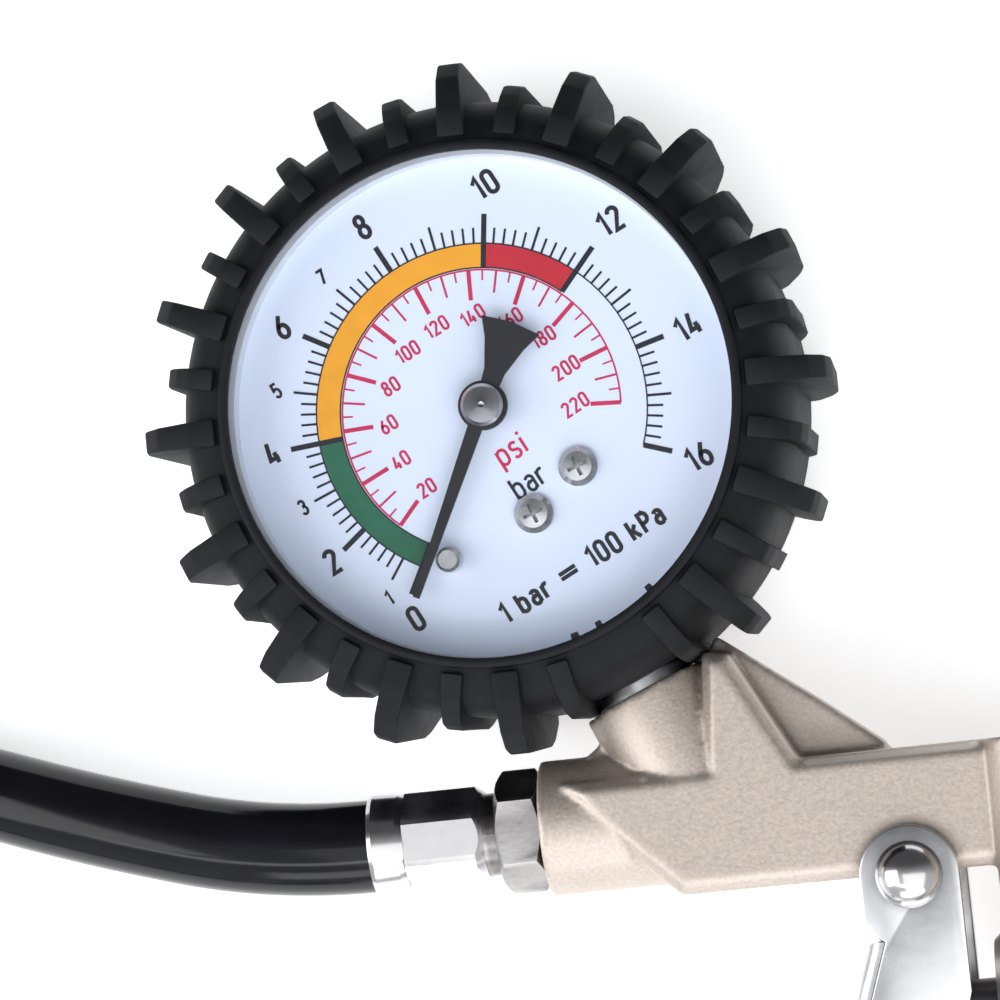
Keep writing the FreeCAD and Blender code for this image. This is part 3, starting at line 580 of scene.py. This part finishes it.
def printed(name, bm, deep, finish):
    """Give a flat print its ink's depth above the dial."""
    bm.normal_update()
    for face in bm.faces:
        if face.normal.z < 0:
            face.normal_flip()
    mesh = bpy.data.meshes.new("ink")
    bm.to_mesh(mesh)
    bm.free()
    mesh = with_modifiers(mesh, ("SOLIDIFY", {"thickness": deep * MM, "offset": 1.0}))
    show(name, mesh, "frame", finish)


def dial_bands(finishes):
    """The coloured bands between the two scales, with one finish for each."""
    middle = (BAND_IN + BAND_OUT) / 2
    for (name, low, high), finish in zip(BANDS, finishes):
        band = bmesh.new()
        sweep(band, middle, bar_angle(low), bar_angle(high), BAND_OUT - BAND_IN)
        printed("dial_" + name, band, BAND_DEEP, finish)


def bar_scale(finish):
    """The outer scale in bar, and the black words."""
    dark = bmesh.new()
    for radius, end in ((BAND_IN, BAND_ENDS[-1]), (BAND_OUT, BAR_TOP)):
        sweep(dark, radius, bar_angle(0), bar_angle(end), BAR_LINE)
    for step in range(TICKS_A_BAR, BAR_TOP * TICKS_A_BAR + 1):
        bar = step / TICKS_A_BAR
        if bar % 2 == 0:
            tick(dark, bar_angle(bar), BAND_IN if bar in BAND_ENDS else BAND_OUT, *EVEN_TICK)
        elif bar % 1 == 0:
            tick(dark, bar_angle(bar), BAND_OUT, *WHOLE_TICK)
        else:
            tick(dark, bar_angle(bar), BAND_OUT, *PART_TICK)
    tick(dark, bar_angle(0), BAND_IN, *ZERO_TICK)
    for bar, radius in LARGE_LABELS:
        lettering(dark, str(bar), *on_print(radius, bar_angle(bar)), *LARGE)
    for bar, (radius, past), size in ((0, ZERO_LABEL, LARGE), (1, ONE_LABEL, SMALL)):
        lettering(dark, str(bar), *on_print(radius, bar_angle(bar) + past), *size)
    for bar, radius in SMALL_LABELS:
        lettering(dark, str(bar), *on_print(radius, bar_angle(bar)), *SMALL)
    for word in BLACK_WORDS:
        lettering(dark, *word)
    printed("dial_print_black", dark, BLACK_DEEP, finish)


def psi_scale(finish):
    """The inner scale in psi, and the red word."""
    bright = bmesh.new()
    sweep(bright, PSI_R, psi_angle(20), psi_angle(PSI_TOP), PSI_LINE)
    for psi in range(20, PSI_TOP + 1, 5):
        if psi % 20 == 0:
            inner, width = TWENTY_TICK
            lettering(bright, str(psi), *on_print(PSI_LABEL_R, psi_angle(psi)), *TINY)
        elif psi % 10 == 0:
            inner, width = TEN_TICK
        else:
            inner, width = FIVE_TICK
        tick(bright, psi_angle(psi), inner, PSI_R, width)
    lettering(bright, *RED_WORD)
    printed("dial_print_red", bright, RED_DEEP, finish)


# ---- the gun ----
PIVOT = (43.2, -59.0)
CHEEK_R = 5.8
CHEEK_HALF = 9.9  # from the gun's mid-plane to a cheek's outer face
SHEET = 1.2
BEND_R = 2.2
EDGE_R = 0.3
NECK_X, WEB_START = 37.4, -66.5  # where the web starts under the cheeks' heads
NECK_RISE = 1.6
FRONT_EDGE = [
    (NECK_X, WEB_START), (33.5, -78.0), (27.2, -100.0), (23.0, -120.0), (21.4, -138.0), (19.4, -150.0),
]
REAR_EDGE = [
    (24.8, -151.2), (28.6, -139.0), (31.6, -124.0), (36.6, -108.0), (44.2, -89.0), (49.0, -73.0),
]


def cast_copy(node, voxel, rounds):
    """A node's shape with the soft edges of a casting or moulding."""
    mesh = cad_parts[node].data.copy()
    remesh = {"mode": "VOXEL", "voxel_size": voxel * MM, "use_smooth_shade": True}
    smooth = {"factor": 0.5, "iterations": rounds}
    return with_modifiers(mesh, ("REMESH", remesh), ("SMOOTH", smooth), sharp=180)


def smooth_line(points, steps=6):
    """A smooth line through points."""
    line = [Vector(p) for p in points]
    out = []
    for k in range(len(line) - 1):
        before = line[max(k - 1, 0)]
        a, b = line[k], line[k + 1]
        after = line[min(k + 2, len(line) - 1)]
        for j in range(steps):
            t = j / steps
            out.append(0.5 * ((2 * a) + (b - before) * t + (2 * before - 5 * a + 4 * b - after) * t * t
                              + (3 * a - before - 3 * b + after) * t ** 3))
    return out + [line[-1]]


def trigger_cheeks(bm, front):
    """Two flat cheeks with round heads over the pivot, their edges softened."""
    head = [Vector(p) for p in arc(*PIVOT, CHEEK_R, CHEEK_R, 0, 180, 16)]
    neck = [Vector((NECK_X, WEB_START + NECK_RISE))]
    inset = [p + Vector((BEND_R, 0.0)) for p in front]
    outline = head + neck + inset + smooth_line(REAR_EDGE)
    for side in (1, -1):
        outer = MID_Z + side * CHEEK_HALF
        inner = outer - side * SHEET
        extruded(bm, [at(p.x, p.y, inner) for p in outline], [at(p.x, p.y, outer) for p in outline])
    bmesh.ops.recalc_face_normals(bm, faces=bm.faces[:])
    rim = []
    for edge in bm.edges:
        level = abs(edge.verts[0].co.z - edge.verts[1].co.z) < 1e-6
        if level and edge.calc_face_angle(0) > 0.6:
            rim.append(edge)
    bmesh.ops.bevel(bm, geom=rim, offset=EDGE_R * MM, segments=2, profile=0.5, affect="EDGES")


def web_section():
    """Points across the web as (inset, height, normal's inset part, normal's height part)."""
    height = CHEEK_HALF - BEND_R
    section = []
    for side in (1, -1):
        turns = range(90, -1, -15) if side > 0 else range(0, 91, 15)
        for degrees in turns:
            c, s = polar(1, degrees)
            section.append((BEND_R - BEND_R * c, side * (height + BEND_R * s), c, side * s))
    return section


def trigger(finish):
    """A pressed channel: two cheeks joined by a web with a rounded bend on each side."""
    front = smooth_line(FRONT_EDGE)
    bm = bmesh.new()
    trigger_cheeks(bm, front)
    section = web_section()
    loops = []
    for spot in front:
        outer = [at(spot.x + dx, spot.y, MID_Z + dz) for dx, dz, nx, nz in section]
        inner = [at(spot.x + dx + SHEET * nx, spot.y, MID_Z + dz - SHEET * nz)
                 for dx, dz, nx, nz in section]
        loops.append([bm.verts.new(p) for p in outer + inner[::-1]])
    join_rings(bm, loops)
    show("trigger_channel", mesh_of(bm), "trigger", finish, ["trigger"])


# ---- the hose ----
# The route is the CAD hose's, in metres from the gauge's centre with Z from the surface, but its
# second and third points are moved a little, for the bend seen after the outlet's ferrule.
HOSE_DIAMETER = 0.0111
HOSE_ROUTE = [
    (-0.0203, -0.0496, 0.0140), (-0.0320, -0.0496, 0.0140), (-0.0540, -0.0435, 0.0113),
    (-0.0760, -0.0356, 0.0070), (-0.1070, -0.0275, 0.0056), (-0.1490, -0.0285, 0.0056),
    (-0.1870, -0.0480, 0.0056), (-0.2060, -0.0870, 0.0056), (-0.1980, -0.1290, 0.0056),
    (-0.1670, -0.1570, 0.0059), (-0.1280, -0.1670, 0.0080), (-0.0930, -0.1720, 0.0080),
]


def hose(finish):
    """One hose from the gun's outlet to the chuck, which stays a curve."""
    curve = bpy.data.curves.new("rubber_hose", "CURVE")
    curve.dimensions = "3D"
    curve.resolution_u = 24
    curve.bevel_depth = HOSE_DIAMETER / 2
    curve.bevel_resolution = 10
    curve.use_fill_caps = True
    line = curve.splines.new("NURBS")
    line.points.add(len(HOSE_ROUTE) - 1)
    for point, (x, y, z) in zip(line.points, HOSE_ROUTE):
        point.co = (GAUGE.x + x, GAUGE.y + y, z, 1)
    line.order_u = 3
    line.use_endpoint_u = True
    line.use_smooth = True
    piece = bpy.data.objects.new("rubber_hose", curve)
    bpy.context.scene.collection.objects.link(piece)
    curve.materials.append(finish)
    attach(piece, "frame")
    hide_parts("hose")
    x, y, z = HOSE_ROUTE[0]


# ---- springs ----
VALVE_Y = -75.0
SPRING_TURNS = 4
STEPS_A_TURN = 28
WIRE_SIDES = 10
VALVE_COIL_R, VALVE_WIRE_R = 3.4, 0.4
CHUCK_COIL_R, CHUCK_WIRE_R = 1.5, 0.25


def coil(start, axis, radius, wire, length):
    """A round wire of radius wire, wound about X or Z from a starting point."""
    bm = bmesh.new()
    steps = STEPS_A_TURN * SPRING_TURNS
    rings = []
    for k in range(steps + 1):
        share = k / steps
        spin = 2 * math.pi * SPRING_TURNS * share
        rise = wire + (length - 2 * wire) * share
        ring = []
        for j in range(WIRE_SIDES):
            turn = 2 * math.pi * j / WIRE_SIDES
            out = radius + wire * math.cos(turn)
            spot = (out * math.cos(spin), out * math.sin(spin), rise + wire * math.sin(turn))
            if axis == "X":
                spot = (spot[2], spot[0], spot[1])
            ring.append(bm.verts.new(at(*(a + b for a, b in zip(start, spot)))))
        rings.append(ring)
    join_rings(bm, rings)
    return mesh_of(bm)


def springs(finish):
    """A wound coil in place of each CAD spring, the valve's and the chuck's."""
    low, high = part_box("valve_spring")
    foot = ((low.x - GAUGE.x) / MM, VALVE_Y, MID_Z)
    wound = coil(foot, "X", VALVE_COIL_R, VALVE_WIRE_R, (high.x - low.x) / MM)
    piece = show("valve_coil", wound, "frame", finish, ["valve_spring"])
    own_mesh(piece)
    low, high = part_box("chuck_spring")
    middle = (low + high) / 2
    foot = ((middle.x - GAUGE.x) / MM, (middle.y - GAUGE.y) / MM, low.z / MM)
    wound = coil(foot, "Z", CHUCK_COIL_R, CHUCK_WIRE_R, (high.z - low.z) / MM)
    piece = show("chuck_coil", wound, "frame", finish, ["chuck_spring"])
    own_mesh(piece)


# ---- the CAD nodes that stay ----
def dress(finish, bevel, *nodes):
    """Give CAD nodes a material, and soft edges of one width unless bevel is 0."""
    for node in nodes:
        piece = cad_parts[node]
        piece.data.materials.clear()
        piece.data.materials.append(finish)
        if bevel:
            flat = piece.modifiers.new("flat", "DECIMATE")
            flat.decimate_type = "DISSOLVE"
            flat.angle_limit = math.radians(1)
            edge = piece.modifiers.new("edge", "BEVEL")
            edge.width = bevel * MM
            edge.segments = 2
            edge.limit_method = "ANGLE"
            edge.angle_limit = math.radians(35)
            edge.harden_normals = True


# ---- the whole scene ----
set_camera()
steel = surface("plain_steel", (0.6, 0.6, 0.62), rough=0.3, metal=1.0, mottle=0.1)
hose_rubber = surface("hose_rubber", (0.006, 0.006, 0.009), rough=0.13, mottle=0.3, grain=120,
                      rough_spread=0.03, bump=0.006, bump_grain=900, shine=0.28)
springs(steel)
hose(hose_rubber)
set_stage()

rubber = surface("boot_rubber", (0.0055, 0.006, 0.0085), rough=0.62, mottle=0.45, grain=350,
                 rough_spread=0.1, bump=0.03, bump_grain=2500, shine=0.18, edge_wear_and_highlight=(0.016, 0.017, 0.021))
black_ink = surface("black_ink", (0.012, 0.012, 0.018), rough=0.45, mottle=0.2)
red_ink = surface("red_ink", (0.62, 0.02, 0.09), rough=0.45, mottle=0.1)
green_ink = surface("green_ink", (0.02, 0.14, 0.075), rough=0.45, mottle=0.1)
orange_ink = surface("orange_ink", (0.95, 0.40, 0.02), rough=0.45, mottle=0.05)
crimson_ink = surface("crimson_ink", (0.58, 0.02, 0.035), rough=0.45, mottle=0.08)
dial_paint = surface("dial_paint", (0.79, 0.86, 0.985), rough=0.4, mottle=0.015, grain=80)
# The cast nickel, screw steel, bright plate and pressed plate darken their creases and recesses with
# painted shade.
nickel = surface("cast_nickel", (0.53, 0.46, 0.41), rough=0.46, metal=0.65, mottle=0.12, grain=2400,
                 rough_spread=0.1, bump=0.035, bump_grain=2000, edge_wear_and_highlight=(0.78, 0.72, 0.67),
                 painted_crease_shade=(1.4, (0.08, 0.06, 0.05)))
screw_steel = surface("screw_steel", (0.62, 0.62, 0.6), rough=0.26, metal=1.0, mottle=0.08, grain=900,
                      painted_crease_shade=(0.5, (0.03, 0.03, 0.03)))
chrome = surface("bright_plate", (0.58, 0.57, 0.58), rough=0.17, metal=1.0, mottle=0.06, grain=300,
                 rough_spread=0.06, bump=0.01, bump_grain=500, painted_crease_shade=(0.8, (0.1, 0.1, 0.1)))
pressed_plate = surface("pressed_plate", (0.72, 0.72, 0.74), rough=0.26, metal=1.0, mottle=0.06,
                        grain=250, rough_spread=0.08, bump=0.012, bump_grain=400,
                        painted_crease_shade=(1.0, (0.12, 0.12, 0.12)))
# The nut's light edges are a painted highlight, standing in for the bright outline that light draws on its
# chamfers.
nut_steel = surface("nut_steel", (0.2, 0.185, 0.185), rough=0.3, metal=1.0, mottle=0.25, grain=900,
                    rough_spread=0.1, bump=0.02, bump_grain=1500, edge_wear_and_highlight=(0.85, 0.84, 0.83))
dark_steel = surface("dark_steel", (0.12, 0.12, 0.13), rough=0.35, metal=0.9, mottle=0.15)
brass = surface("brass", (0.72, 0.52, 0.22), rough=0.28, metal=1.0, mottle=0.1)
light_case = surface("light_case", (0.72, 0.74, 0.78), rough=0.4, metal=0.3, mottle=0.03)
seal = surface("seal_rubber", (0.02, 0.02, 0.022), rough=0.6, mottle=0.3)
grip_plastic = surface("grip_plastic", (0.022, 0.022, 0.025), rough=0.5, mottle=0.3, bump=0.06,
                       bump_grain=1800)
pointer_paint = surface("pointer_paint", (0.012, 0.012, 0.014), rough=0.5, mottle=0.3)

boot(rubber)
dial_bands((green_ink, orange_ink, crimson_ink))
bar_scale(black_ink)
psi_scale(red_ink)
body = cast_copy("gun_body", voxel=0.38, rounds=4)
show("casting", body, "frame", nickel, ["gun_body"])
handle = cast_copy("handle_grip", voxel=0.6, rounds=6)
show("grip", handle, "frame", grip_plastic, ["handle_grip"])
trigger(pressed_plate)

dress(dial_paint, 0, "dial_plate")
dress(clear_lens(), 0, "gauge_lens")
dress(light_case, 0, "gauge_case", "dial_ring")
dress(pointer_paint, 0.08, "pointer")
dress(screw_steel, 0.1, "dial_screw_1", "dial_screw_2", "zero_stop_pin")
dress(chrome, 0.12, "pointer_hub", "trigger_pin", "valve_plug", "outlet_ferrule", "chuck_ferrule",
      "chuck_body", "chuck_lever_pin")
dress(nut_steel, 0.35, "outlet_nipple")
dress(pressed_plate, 0.3, "chuck_lever")
dress(seal, 0, "lens_gasket", "stem_seal", "poppet_seal", "chuck_gasket", "outlet_hose_tail",
      "chuck_hose_tail")
dress(brass, 0.1, "gauge_socket", "movement_back_plate", "movement_front_plate", "sector_gear",
      "pinion_arbor", "movement_link", "inlet_bush", "chuck_depressor", "bourdon_tube")
dress(steel, 0, "hairspring")
dress(steel, 0.1, "stem_washer")
dress(steel, 0.2, "valve_gland")
dress(dark_steel, 0.1, "valve_stem")
